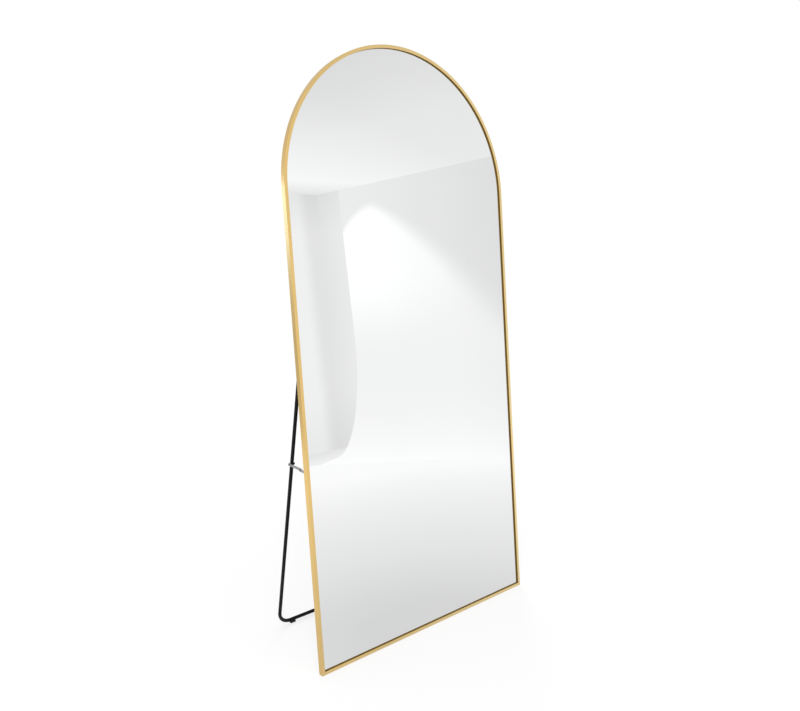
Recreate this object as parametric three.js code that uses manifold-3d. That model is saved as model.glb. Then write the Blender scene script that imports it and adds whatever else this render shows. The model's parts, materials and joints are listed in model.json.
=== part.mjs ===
// Leaning floor mirror: an arched glass in a thin aluminium frame, held up from behind by a U-shaped
// tube stand on two hinges, with a two-piece folding stay at each side.
// Millimetres. +X is to the right seen from the front, +Y is backwards, +Z is up, and the floor is z = 0.

import * as THREE from "three";
import { mergeVertices } from "three/addons/utils/BufferGeometryUtils.js";
import Module from "manifold-3d";

const wasm = await Module();
wasm.setup();

// ---------- driving dimensions ----------

// Outline of the mirror: straight sides with a half circle on top
const mirrorWidth = 850;
const mirrorHeight = 1800;
const arcSteps = 64;

// Pose when it stands open
const mirrorLean = THREE.MathUtils.degToRad(5.46);
const standSpread = THREE.MathUtils.degToRad(16.08);

// Clearances between pieces
const fitGap = 0.3;
const panelEdgeGap = 0.8;

// Layers of the panel, from the back to the front
const flangeThickness = 1.4;
const boardThickness = 5.5;
const glassThickness = 4;
const boxDepth = 4.9;

// Section of the frame extrusion
const faceWidth = 9.8;
const skinThickness = 1.3;
const chamberWall = 1.2;
const flangeWidth = 14;
const edgeChamfer = 0.5;

// Corner joints
const mitreGap = 0.3;
const cornerKeyLeg = 40;
const cornerPlateLeg = 45;
const cornerPlateWidth = 12;
const cornerPlateThickness = 1.2;
const cornerPlateInset = 1;
const cornerScrewFromEnd = 8;

// Crowned heads: the flat top's share of the head's radius
const headCrown = 0.6;

// Screws into the rear flange
const screwRadius = 1.7;
const screwHeadRadius = 3.4;
const screwHeadHeight = 2;
const screwBite = 1.5;
const screwInset = 7;

// Stand tube
const tubeRadius = 5.5;
const tubeWall = 1.2;
const tubeSides = 16;
const legInset = 43.5;
const bendRadius = 42;
const bendSteps = 8;
const pressedWidth = 15;
const pressedThickness = 4;
const pressedLength = 12;
const pressTaper = 18;

// Stand hinges, on an axis behind the panel
const hingeBelowHanger = 288;
const pivotDepth = 12;
const hingeBoltRadius = 2.5;
const hingeHeadRadius = 4.5;
const hingeHeadHeight = 3;
const hingeNutAcross = 8;
const hingeNutThickness = 4;
const boltPointChamfer = 0.5;
const boltPastNut = 1;
const hingeWasherRadius = 5;
const hingeWasherThickness = 1;

// Bent steel brackets screwed to the flange
const bracketThickness = 2;
const bracketEdgeInset = 2;
const bracketCornerRadius = 3;
const hingeBracketHeight = 34;
const hingeEarRadius = 8;
const stayBracketHeight = 28;
const stayEarRadius = 5;

// Folding stays
const stayBelowHinge = 439;
const strapThickness = 1.5;
const strapWidth = 8;
const strapGap = 2.5;
const staySpacerThickness = 2;
const staySpacerRadius = 4.5;
const stayBoltRadius = 2;
const stayHeadRadius = 3.5;
const stayHeadHeight = 1.8;
const stayNutAcross = 7;
const stayNutThickness = 3;
const rivetRadius = 1.6;
const rivetHeadRadius = 3.1;
const rivetHeadHeight = 1.2;
const rivetTailFlare = 0.9;

// Rubber feet under the foot bar
const footInset = 50;
const footLength = 18;
const footWidth = 12;
const footLift = 5.5;
const footArm = 1.5;
const footChamfer = 1;
const footStemRadius = 1.9;
const footBarbRadius = 2.6;
const footBarbHeight = 1.8;

// Keyhole plates for wall hanging
const hangerBelowSpring = 75;
const hangerLength = 62;
const hangerWidth = 12;
const hangerInset = 9.2;
const hangerCornerRadius = 2.5;
const hangerThickness = 1.2;
const hangerRise = 3.4;
const hangerFootLength = 13;
const hangerRamp = 4;
const hangerEntryRadius = 4.5;
const hangerSlotRadius = 2.3;
const hangerSlotTravel = 9;

// ---------- sizes that follow ----------

const halfWidth = mirrorWidth / 2;
const springHeight = mirrorHeight - halfWidth;
const legOffset = halfWidth - legInset;
const hangerHeight = springHeight - hangerBelowSpring;
const hingeHeight = hangerHeight - hingeBelowHanger;
const stayHeight = hingeHeight - stayBelowHinge;

const boardRear = flangeThickness + fitGap;
const boardFront = boardRear + boardThickness;
const glassRear = boardFront + fitGap;
const glassFront = glassRear + glassThickness;
const boxRear = glassFront + fitGap;
const frameDepth = boxRear + boxDepth;

const screwX = halfWidth - screwInset;
const hangerX = halfWidth - hangerInset;
const screwReach = boardRear + screwBite;
const barHeight = tubeRadius + footLift;
const legLean = standSpread - mirrorLean;

// Panel drawing (x across, y up the panel, z towards the front) to the floor frame
const panelTilt = Math.PI / 2 - mirrorLean;
const standTilt = Math.PI / 2 + legLean;
const panelToFloor = new THREE.Matrix4().makeRotationX(panelTilt);
const hingeAxis = new THREE.Vector3(0, hingeHeight, -pivotDepth).applyMatrix4(panelToFloor);
const legLength = (hingeAxis.z - barHeight) / Math.cos(legLean);
const barY = hingeAxis.y + legLength * Math.sin(legLean);

// Distances of the stay's two end pivots from the hinge axis, both at the stay's height
const stayDrop = hingeAxis.z - stayHeight;
const stayOnLeg = stayDrop / Math.cos(legLean);
const stayOnPanel = stayDrop / Math.cos(mirrorLean);
const staySpan = stayDrop * (Math.tan(legLean) + Math.tan(mirrorLean));
const stayPanelY = hingeHeight - stayOnPanel;

// The two straps lie in line when open, and side by side when the stand is folded flat
const rearStrapLength = (staySpan + stayOnLeg - stayOnPanel) / 2;
const frontStrapLength = (staySpan - stayOnLeg + stayOnPanel) / 2;

// Planes of the hinge and the stay, outwards from the leg
const hingeWasherX = legOffset + pressedThickness / 2 + fitGap;
const hingeEarX = hingeWasherX + hingeWasherThickness + fitGap;
const hingeHeadX = hingeEarX + bracketThickness + fitGap;
const hingeNutX = legOffset - pressedThickness / 2 - fitGap;
const staySpacerX = legOffset + tubeRadius + fitGap;
const rearStrapX = staySpacerX + staySpacerThickness + fitGap;
const frontStrapX = rearStrapX + strapThickness + strapGap;
const stayEarX = frontStrapX + strapThickness + fitGap;

// The origin is under the middle of the object's box
const frontY = -frameDepth * Math.cos(mirrorLean);
const rearY = barY + footWidth / 2;
const originY = (frontY + rearY) / 2;

// ---------- finishes ----------

const finishes = {
  gold: { color: "#d6b673", roughness: 0.38, metalness: 0.9 },
  mirror: { color: "#eef1f1", roughness: 0.03, metalness: 1 },
  board: { color: "#2b2a29", roughness: 0.85, metalness: 0 },
  alloy: { color: "#a9abac", roughness: 0.5, metalness: 0.9 },
  black: { color: "#1f1f20", roughness: 0.5, metalness: 0.2 },
  zinc: { color: "#b9bbbc", roughness: 0.35, metalness: 1 },
  rubber: { color: "#161616", roughness: 0.9, metalness: 0 },
  nylon: { color: "#dcdad2", roughness: 0.6, metalness: 0 },
};

// ---------- tools ----------

// A drawing in XY pushed along Z is laid so that it is drawn in YZ and pushed along X
const drawnInYZ = new THREE.Matrix4().makeBasis(
  new THREE.Vector3(0, 1, 0),
  new THREE.Vector3(0, 0, 1),
  new THREE.Vector3(1, 0, 0),
);

// The same drawing laid so that its x is Z, its y is X, and it is pushed along Y
const drawnInZX = drawnInYZ.clone().multiply(drawnInYZ);

const shift = (geometry, x, y, z) => geometry.translate(x, y, z);
const turnTo = (geometry, matrix) => geometry.applyMatrix4(matrix);
const point = (x, y) => new THREE.Vector2(x, y);

// A closed mesh with shared corners merged, as a solid that can be cut and joined
function solid(geometry) {
  const bare = geometry.clone();
  bare.deleteAttribute("normal");
  bare.deleteAttribute("uv");
  const merged = mergeVertices(bare, 1e-4);
  const corners = Array.from(merged.index.array);
  const triangles = [];
  for (let i = 0; i < corners.length; i += 3) {
    const [a, b, c] = corners.slice(i, i + 3);
    if (a !== b && b !== c && c !== a) triangles.push(a, b, c);
  }
  return new wasm.Manifold(
    new wasm.Mesh({
      numProp: 3,
      vertProperties: new Float32Array(merged.attributes.position.array),
      triVerts: new Uint32Array(triangles),
    }),
  );
}

function cutAll(body, tools) {
  return tools.reduce((left, tool) => left.subtract(tool), body);
}

// Adds one named piece to a group, with a material of its own
function addPiece(group, name, body, finish) {
  const mesh = body.getMesh();
  const geometry = new THREE.BufferGeometry();
  geometry.setAttribute("position", new THREE.BufferAttribute(mesh.vertProperties, 3));
  geometry.setIndex(new THREE.BufferAttribute(mesh.triVerts, 1));
  geometry.computeVertexNormals();
  const piece = new THREE.Mesh(geometry, new THREE.MeshStandardMaterial(finishes[finish]));
  piece.name = name;
  group.add(piece);
}

function extruded(shape, depth, curveSegments = 12) {
  return new THREE.ExtrudeGeometry(shape, { depth, curveSegments, bevelEnabled: false });
}

// A plate drawn in the panel's XY, from one depth to another
function plateZ(shape, from, to, curveSegments) {
  return solid(shift(extruded(shape, to - from, curveSegments), 0, 0, from));
}

// A plate drawn in YZ, from one x to another
function plateX(shape, from, to, curveSegments) {
  const geometry = turnTo(extruded(shape, to - from, curveSegments), drawnInYZ);
  return solid(shift(geometry, from, 0, 0));
}

function slab(fromX, toX, fromY, toY, fromZ, toZ) {
  const geometry = new THREE.BoxGeometry(toX - fromX, toY - fromY, toZ - fromZ);
  return solid(shift(geometry, (fromX + toX) / 2, (fromY + toY) / 2, (fromZ + toZ) / 2));
}

// A turned piece on an axis along Z through (x, y); its profile is [radius, z] from the low end up
function turnedZ(profile, x, y, sides = 16) {
  const geometry = new THREE.LatheGeometry(profile.map(([r, z]) => point(r, z)), sides);
  return solid(shift(turnTo(geometry, drawnInYZ), x, y, 0));
}

// A turned piece on an axis along X through (y, z); its profile is [radius, x] from the low end up
function turnedX(profile, y, z, sides = 12) {
  const geometry = new THREE.LatheGeometry(profile.map(([r, x]) => point(r, x)), sides);
  return solid(shift(turnTo(geometry, drawnInZX), 0, y, z));
}

const rodZ = (radius, from, to, x, y, sides) =>
  turnedZ([[0, from], [radius, from], [radius, to], [0, to]], x, y, sides);
const rodX = (radius, from, to, y, z, sides) =>
  turnedX([[0, from], [radius, from], [radius, to], [0, to]], y, z, sides);

// The same piece on the left, by mirroring a [radius, x] profile or an x range
const mirrorProfile = (profile) => profile.map(([r, x]) => [r, -x]).reverse();
const onSide = (side, profile) => (side > 0 ? profile : mirrorProfile(profile));
const spanOn = (side, from, to) => (side > 0 ? [from, to] : [-to, -from]);

const sides = [
  { side: -1, label: "left" },
  { side: 1, label: "right" },
];

// ---------- groups ----------

const floorMirror = new THREE.Group();

const standing = new THREE.Group();
standing.position.y = -originY;
floorMirror.add(standing);

const panel = new THREE.Group();
panel.rotation.x = panelTilt;
standing.add(panel);

const stand = new THREE.Group();
stand.position.copy(hingeAxis);
stand.rotation.x = standTilt;
standing.add(stand);

// ---------- frame ----------

// Frame section as (inwards from the outer edge, forwards from the back), anticlockwise
// with the outer edge on the right
const channelSection = [
  point(0, 0),
  point(0, frameDepth - edgeChamfer),
  point(edgeChamfer, frameDepth),
  point(faceWidth - edgeChamfer, frameDepth),
  point(faceWidth, frameDepth - edgeChamfer),
  point(faceWidth, boxRear),
  point(skinThickness, boxRear),
  point(skinThickness, flangeThickness),
  point(flangeWidth, flangeThickness),
  point(flangeWidth, 0),
];

const chamberSection = [
  point(skinThickness, boxRear + chamberWall),
  point(skinThickness, frameDepth - chamberWall),
  point(faceWidth - chamberWall, frameDepth - chamberWall),
  point(faceWidth - chamberWall, boxRear + chamberWall),
];

// A straight length of the extrusion, from 0 along its push direction; its section is placed
// in the drawing by a function
function channelBar(length, place, lay) {
  const skin = extruded(new THREE.Shape(channelSection.map(place)), length);
  const chamber = extruded(new THREE.Shape(chamberSection.map(place)), length + 2);
  return solid(turnTo(skin, lay)).subtract(solid(turnTo(shift(chamber, 0, 0, -1), lay)));
}

// A section revolved about the centre of the arch
function archRing(section) {
  const loop = [...section, section[0]].map((p) => point(halfWidth - p.x, p.y));
  const ring = new THREE.LatheGeometry(loop, 2 * arcSteps);
  return solid(shift(turnTo(ring, drawnInYZ), 0, springHeight, 0));
}

// The space under the two 45 degree lines that run inwards from the bottom corners
function mitreWedge(grow) {
  const reach = halfWidth + grow;
  const shape = new THREE.Shape([point(-reach, 0), point(reach, 0), point(0, reach)]);
  return plateZ(shape, -1, frameDepth + 1);
}

const mitreShift = mitreGap / Math.SQRT2;
const archHalf = slab(-mirrorWidth, mirrorWidth, springHeight, 2 * mirrorHeight, -1, frameDepth + 1);

const frameLeg = (side) =>
  channelBar(springHeight, (p) => point(p.y, side * (halfWidth - p.x)), drawnInZX);

// Each screw passes through its plate and the flange into a blind hole in the board
const flangeScrews = [];

for (const { side } of sides) {
  const alongRail = halfWidth - cornerPlateLeg + cornerScrewFromEnd;
  flangeScrews.push([side * screwX, cornerPlateLeg - cornerScrewFromEnd]);
  flangeScrews.push([side * alongRail, screwInset]);
  for (const end of [-1, 1]) {
    flangeScrews.push([side * hangerX, hangerHeight + end * (hangerLength - hangerFootLength) / 2]);
    flangeScrews.push([side * screwX, hingeHeight + end * (hingeBracketHeight / 2 - screwInset)]);
    flangeScrews.push([side * screwX, stayPanelY + end * (stayBracketHeight / 2 - screwInset)]);
  }
}

const holeFrom = -2 * bracketThickness;
const holeTo = screwReach + fitGap;
const screwHoles = flangeScrews.map(([x, y]) =>
  rodZ(screwRadius + fitGap, holeFrom, holeTo, x, y, 12),
);

const arch = cutAll(
  archRing(channelSection)
    .subtract(archRing(chamberSection))
    .intersect(archHalf)
    .add(frameLeg(-1))
    .add(frameLeg(1))
    .subtract(mitreWedge(mitreShift)),
  screwHoles,
);
addPiece(panel, "frame_arch", arch, "gold");

const railBar = channelBar(mirrorWidth, (p) => point(p.x, p.y), drawnInYZ).translate([-halfWidth, 0, 0]);
const rail = cutAll(railBar.intersect(mitreWedge(-mitreShift)), screwHoles);
addPiece(panel, "frame_bottom_rail", rail, "gold");

// ---------- glass and board ----------

// The mirror's outline, drawn in from its edge by an inset
function archShape(inset) {
  const reach = halfWidth - inset;
  const shape = new THREE.Shape();
  shape.moveTo(-reach, inset);
  shape.lineTo(reach, inset);
  shape.lineTo(reach, springHeight);
  shape.absarc(0, springHeight, reach, 0, Math.PI, false);
  shape.closePath();
  return shape;
}

const panelOutline = archShape(skinThickness + panelEdgeGap);
addPiece(panel, "mirror_glass", plateZ(panelOutline, glassRear, glassFront, arcSteps / 2), "mirror");

const board = cutAll(plateZ(panelOutline, boardRear, boardFront, arcSteps / 2), screwHoles);
addPiece(panel, "backing_board", board, "board");

// ---------- corner joints ----------

// A drawing as (inwards from the side edge, up from the bottom edge), laid at a bottom corner
const atCorner = (side, points) => new THREE.Shape(points.map((p) => point(side * (halfWidth - p.x), p.y)));

// An L that follows a bottom corner, between two distances in from the edge
function keyL(near, far, leg) {
  const corners = [[near, near], [leg, near], [leg, far], [far, far], [far, leg], [near, leg]];
  return corners.map(([inwards, up]) => point(inwards, up));
}

// The same L with round ends
function plateL(near, far, leg) {
  const round = (far - near) / 2;
  const shape = new THREE.Shape();
  shape.moveTo(near, near);
  shape.lineTo(leg - round, near);
  shape.absarc(leg - round, near + round, round, -Math.PI / 2, Math.PI / 2, false);
  shape.lineTo(far, far);
  shape.absarc(near + round, leg - round, round, 0, Math.PI, false);
  return shape.getPoints(8);
}

for (const { side, label } of sides) {
  const keyNear = skinThickness + fitGap;
  const keyFar = faceWidth - chamberWall - fitGap;
  const keyFrom = boxRear + chamberWall + fitGap;
  const keyTo = frameDepth - chamberWall - fitGap;
  const key = plateZ(atCorner(side, keyL(keyNear, keyFar, cornerKeyLeg)), keyFrom, keyTo);
  addPiece(panel, `corner_key_${label}`, key, "alloy");

  const plateFar = cornerPlateInset + cornerPlateWidth;
  const plateShape = atCorner(side, plateL(cornerPlateInset, plateFar, cornerPlateLeg));
  const plate = plateZ(plateShape, -fitGap - cornerPlateThickness, -fitGap);
  addPiece(panel, `corner_plate_${label}`, cutAll(plate, screwHoles), "zinc");
}

// ---------- screws ----------

// A pan-head screw with its tip in the board, seated on a plate of the given thickness
function flangeScrew(x, y, plateThickness) {
  const seat = -plateThickness - 2 * fitGap;
  const profile = [
    [0, seat - screwHeadHeight],
    [screwHeadRadius * headCrown, seat - screwHeadHeight],
    [screwHeadRadius, seat - screwHeadHeight * 0.45],
    [screwHeadRadius, seat],
    [screwRadius, seat],
    [screwRadius, screwReach - screwRadius],
    [0, screwReach],
  ];
  return turnedZ(profile, x, y, 12);
}

for (const { side, label } of sides) {
  const upright = flangeScrew(side * screwX, cornerPlateLeg - cornerScrewFromEnd, cornerPlateThickness);
  addPiece(panel, `corner_screw_side_${label}`, upright, "zinc");
  const alongRail = halfWidth - cornerPlateLeg + cornerScrewFromEnd;
  const level = flangeScrew(side * alongRail, screwInset, cornerPlateThickness);
  addPiece(panel, `corner_screw_bottom_${label}`, level, "zinc");
}

// ---------- keyhole hanger plates ----------

// Side view in YZ: two feet on the flange and a raised middle that a wall screw's head slides behind
function hangerProfile() {
  const half = hangerLength / 2;
  const rampOut = half - hangerFootLength;
  const rampIn = rampOut - hangerRamp;
  const under = -fitGap;
  const outer = under - hangerThickness;
  return new THREE.Shape([
    point(-half, under),
    point(-half, outer),
    point(-rampOut, outer),
    point(-rampIn, outer - hangerRise),
    point(rampIn, outer - hangerRise),
    point(rampOut, outer),
    point(half, outer),
    point(half, under),
    point(rampOut, under),
    point(rampIn, under - hangerRise),
    point(-rampIn, under - hangerRise),
    point(-rampOut, under),
  ]);
}

// Seen from behind, the plate is a strip with rounded corners
function stripOutline(width, length, radius) {
  const [halfX, halfY] = [width / 2, length / 2];
  const shape = new THREE.Shape();
  shape.absarc(halfX - radius, radius - halfY, radius, -Math.PI / 2, 0, false);
  shape.absarc(halfX - radius, halfY - radius, radius, 0, Math.PI / 2, false);
  shape.absarc(radius - halfX, halfY - radius, radius, Math.PI / 2, Math.PI, false);
  shape.absarc(radius - halfX, radius - halfY, radius, Math.PI, 1.5 * Math.PI, false);
  return shape;
}

for (const { side, label } of sides) {
  const x = side * hangerX;
  const entryY = hangerHeight - hangerSlotTravel / 2;
  const slotY = entryY + hangerSlotTravel;
  const through = [-fitGap - 2 * hangerRise - hangerThickness, 0];
  const bend = turnTo(extruded(hangerProfile(), hangerWidth), drawnInYZ);
  const strip = plateZ(stripOutline(hangerWidth, hangerLength, hangerCornerRadius), through[0], 0, 4);
  const bent = solid(shift(bend, x - hangerWidth / 2, hangerHeight, 0));
  const plate = bent.intersect(strip.translate([x, hangerHeight, 0]));
  const keyhole = [
    rodZ(hangerEntryRadius, ...through, x, entryY, 20),
    rodZ(hangerSlotRadius, ...through, x, slotY, 12),
    slab(x - hangerSlotRadius, x + hangerSlotRadius, entryY, slotY, ...through),
  ];
  addPiece(panel, `hanger_plate_${label}`, cutAll(plate, [...keyhole, ...screwHoles]), "zinc");
  for (const [end, place] of [[-1, "lower"], [1, "upper"]]) {
    const y = hangerHeight + end * (hangerLength - hangerFootLength) / 2;
    addPiece(panel, `hanger_screw_${place}_${label}`, flangeScrew(x, y, hangerThickness), "zinc");
  }
}

// ---------- bent brackets ----------

// A sheet-steel angle: a base on the flange and an ear that stands out behind it around a pivot.
// It is the overlap of three views: from above (the bend), from behind (the base) and from the side.
function angleBracket(side, earX, height, pivotY, earRadius, boltRadius) {
  const base = -fitGap - bracketThickness;
  const tip = pivotDepth + earRadius + 1;
  const outer = halfWidth - bracketEdgeInset;
  const inner = earX + bracketThickness;
  const half = height / 2;

  const bend = new THREE.Shape();
  bend.moveTo(outer, -fitGap);
  bend.lineTo(earX + bracketThickness, -fitGap);
  bend.absarc(earX + bracketThickness, base, bracketThickness, Math.PI / 2, Math.PI, false);
  bend.lineTo(earX, -tip);
  bend.lineTo(inner, -tip);
  bend.lineTo(inner, base);
  bend.lineTo(outer, base);
  const turned = new THREE.Shape(bend.getPoints(6).map((p) => point(p.y, side * p.x)));
  const angle = solid(
    shift(turnTo(extruded(turned, height), drawnInZX), 0, pivotY - half, 0),
  );

  const back = new THREE.Shape();
  back.moveTo(side * earX, -half);
  back.lineTo(side * (outer - bracketCornerRadius), -half);
  back.lineTo(side * outer, -half + bracketCornerRadius);
  back.lineTo(side * outer, half - bracketCornerRadius);
  back.lineTo(side * (outer - bracketCornerRadius), half);
  back.lineTo(side * earX, half);
  const backView = plateZ(back, -tip - 1, 0).translate([0, pivotY, 0]);

  const profile = new THREE.Shape();
  profile.moveTo(-half - 1, 0);
  profile.lineTo(-half - 1, base);
  profile.lineTo(-half, base);
  profile.lineTo(-earRadius, -pivotDepth);
  profile.absarc(0, -pivotDepth, earRadius, Math.PI, 2 * Math.PI, false);
  profile.lineTo(half, base);
  profile.lineTo(half + 1, base);
  profile.lineTo(half + 1, 0);
  const [from, to] = spanOn(side, earX - 1, outer + 1);
  const sideView = plateX(profile, from, to, 8).translate([0, pivotY, 0]);

  const [boreFrom, boreTo] = spanOn(side, earX - 1, inner + 1);
  const bore = rodX(boltRadius + fitGap, boreFrom, boreTo, pivotY, -pivotDepth);
  return cutAll(angle.intersect(backView).intersect(sideView), [bore, ...screwHoles]);
}

// ---------- stand hinges ----------

// A hexagonal nut on an axis along X, on a bolt of the given radius
function nut(side, seatX, thickness, across, boltRadius, y, z) {
  const [from, to] = spanOn(side, seatX - thickness, seatX);
  const cornerRadius = across / Math.sqrt(3);
  return rodX(cornerRadius, from, to, y, z, 6).subtract(rodX(boltRadius + fitGap, from - 1, to + 1, y, z));
}

// A flat ring on an axis along X
function washer(side, fromX, thickness, radius, boltRadius, y, z) {
  const [from, to] = spanOn(side, fromX, fromX + thickness);
  return rodX(radius, from, to, y, z, 20).subtract(rodX(boltRadius + fitGap, from - 1, to + 1, y, z));
}

for (const { side, label } of sides) {
  const y = hingeHeight;
  const z = -pivotDepth;
  const bracket = angleBracket(side, hingeEarX, hingeBracketHeight, y, hingeEarRadius, hingeBoltRadius);
  addPiece(panel, `hinge_bracket_${label}`, bracket, "black");
  for (const [end, place] of [[-1, "lower"], [1, "upper"]]) {
    const screwY = y + end * (hingeBracketHeight / 2 - screwInset);
    const screw = flangeScrew(side * screwX, screwY, bracketThickness);
    addPiece(panel, `hinge_screw_${place}_${label}`, screw, "zinc");
  }

  const boltEnd = hingeNutX - hingeNutThickness - boltPastNut;
  const headTop = hingeHeadX + hingeHeadHeight;
  const bolt = [
    [0, boltEnd],
    [hingeBoltRadius - boltPointChamfer, boltEnd],
    [hingeBoltRadius, boltEnd + boltPointChamfer],
    [hingeBoltRadius, hingeHeadX],
    [hingeHeadRadius, hingeHeadX],
    [hingeHeadRadius, headTop - hingeHeadHeight * 0.5],
    [hingeHeadRadius * headCrown, headTop],
    [0, headTop],
  ];
  addPiece(panel, `hinge_bolt_${label}`, turnedX(onSide(side, bolt), y, z), "zinc");
  const hingeNut = nut(side, hingeNutX, hingeNutThickness, hingeNutAcross, hingeBoltRadius, y, z);
  addPiece(panel, `hinge_nut_${label}`, hingeNut, "zinc");
  const ring = washer(side, hingeWasherX, hingeWasherThickness, hingeWasherRadius, hingeBoltRadius, y, z);
  addPiece(panel, `hinge_washer_${label}`, ring, "nylon");
}

// ---------- stand tube ----------

// A tube's route as stations that are close together only where it bends or is pressed
class StationPath extends THREE.Curve {
  constructor(stations) {
    super();
    this.stations = stations;
  }
  getSpacedPoints() {
    return this.stations.map(({ place }) => place);
  }
  getTangentAt(u) {
    return this.stations[Math.round(u * (this.stations.length - 1))].heading.clone();
  }
}

const legTop = pressedWidth / 2;
const pressTo = -pressedLength - pressTaper;

// Stand drawing: x across, y up the leg from the hinge axis, z towards the front
function halfRoute() {
  const down = new THREE.Vector3(0, -1, 0);
  const heights = [legTop];
  const taperSteps = 5;
  for (let i = 0; i <= taperSteps; i += 1) {
    heights.push(-pressedLength - (pressTaper * i) / taperSteps);
  }
  const stations = heights.map((y) => ({ place: new THREE.Vector3(legOffset, y, 0), heading: down }));
  const centre = new THREE.Vector3(legOffset - bendRadius, bendRadius - legLength, 0);
  for (let i = 0; i <= bendSteps; i += 1) {
    const turn = (Math.PI / 2) * (i / bendSteps);
    const outwards = new THREE.Vector3(Math.cos(turn), -Math.sin(turn), 0);
    stations.push({
      place: centre.clone().addScaledVector(outwards, bendRadius),
      heading: new THREE.Vector3(-Math.sin(turn), -Math.cos(turn), 0),
    });
  }
  return stations;
}

function mirroredBack(stations) {
  return [...stations].reverse().map(({ place, heading }) => ({
    place: new THREE.Vector3(-place.x, place.y, 0),
    heading: new THREE.Vector3(heading.x, -heading.y, 0),
  }));
}

// Presses the leg's round end flat: across the leg it is held to the pressed thickness,
// and it spreads sideways to the pressed width, inner and outer wall alike
function pressEnds(geometry) {
  const position = geometry.attributes.position;
  for (let i = 0; i < position.count; i += 1) {
    const y = position.getY(i);
    if (y < pressTo) continue;
    const press = 1 - THREE.MathUtils.smoothstep(-y, pressedLength, -pressTo);
    const legX = Math.sign(position.getX(i)) * legOffset;
    const x = position.getX(i) - legX;
    const z = position.getZ(i);
    const depthInWall = tubeRadius - Math.hypot(x, z);
    const halfThickness = pressedThickness / 2 - depthInWall;
    const spread = (pressedWidth / 2 - depthInWall) / Math.hypot(x, z);
    const flatX = THREE.MathUtils.clamp(x, -halfThickness, halfThickness);
    position.setX(i, legX + THREE.MathUtils.lerp(x, flatX, press));
    position.setZ(i, THREE.MathUtils.lerp(z, z * spread, press));
  }
  return geometry;
}

const ringShape = new THREE.Shape();
ringShape.absarc(0, 0, tubeRadius, 0, 2 * Math.PI, false);
const boreShape = new THREE.Path();
boreShape.absarc(0, 0, tubeRadius - tubeWall, 0, 2 * Math.PI, true);
ringShape.holes.push(boreShape);

const rightHalf = halfRoute();
const stations = [...rightHalf, ...mirroredBack(rightHalf)];
const tubeGeometry = new THREE.ExtrudeGeometry(ringShape, {
  steps: stations.length - 1,
  curveSegments: tubeSides / 2,
  extrudePath: new StationPath(stations),
});

const boltBoreReach = 2 * pressedWidth;
const tubeCuts = [];
for (const { side } of sides) {
  const [from, to] = spanOn(side, legOffset - boltBoreReach, legOffset + boltBoreReach);
  tubeCuts.push(rodX(hingeBoltRadius + fitGap, from, to, 0, 0));
  tubeCuts.push(rodX(stayBoltRadius + fitGap, from, to, -stayOnLeg, 0));

  // Rounds the pressed end about the hinge axis
  const overEnd = slab(from, to, 0, pressedWidth, -pressedWidth, pressedWidth);
  tubeCuts.push(overEnd.subtract(rodX(legTop, from - 1, to + 1, 0, 0, 24)));

  // A hole in the underside of the foot bar for the rubber foot's stem
  const stemHole = new THREE.CylinderGeometry(
    footStemRadius + fitGap,
    footStemRadius + fitGap,
    tubeRadius + 1,
    12,
  );
  shift(stemHole, 0, -(tubeRadius + 1) / 2, 0).rotateX(-legLean);
  tubeCuts.push(solid(shift(stemHole, side * (legOffset - footInset), -legLength, 0)));
}

addPiece(stand, "stand_tube", cutAll(solid(pressEnds(tubeGeometry)), tubeCuts), "black");

// ---------- rubber feet ----------

// The feet sit level on the floor while the stand leans
const feet = new THREE.Group();
feet.position.y = -legLength;
feet.rotation.x = -standTilt;
stand.add(feet);

function footShape() {
  const half = footWidth / 2;
  const cradle = tubeRadius + fitGap;
  const lip = Math.acos((half - footArm) / cradle);
  const shape = new THREE.Shape();
  shape.moveTo(-half + footChamfer, -barHeight);
  shape.lineTo(half - footChamfer, -barHeight);
  shape.lineTo(half, -barHeight + footChamfer);
  shape.lineTo(half, -cradle * Math.sin(lip));
  shape.absarc(0, 0, cradle, -lip, lip - Math.PI, true);
  shape.lineTo(-half, -cradle * Math.sin(lip));
  shape.lineTo(-half, -barHeight + footChamfer);
  return shape;
}

for (const { side, label } of sides) {
  const x = side * (legOffset - footInset);
  const saddle = plateX(footShape(), x - footLength / 2, x + footLength / 2, 12);
  const clearBore = (tubeRadius - tubeWall) * Math.cos(Math.PI / tubeSides) - fitGap;
  const barbFrom = -Math.sqrt(clearBore ** 2 - footBarbRadius ** 2);
  const stem = [
    [0, -tubeRadius - footLift / 2],
    [footStemRadius, -tubeRadius - footLift / 2],
    [footStemRadius, barbFrom],
    [footBarbRadius, barbFrom],
    [footBarbRadius * headCrown, barbFrom + footBarbHeight],
    [0, barbFrom + footBarbHeight],
  ];
  addPiece(feet, `foot_pad_${label}`, saddle.add(turnedZ(stem, x, 0)), "rubber");
}

// ---------- folding stays ----------

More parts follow.
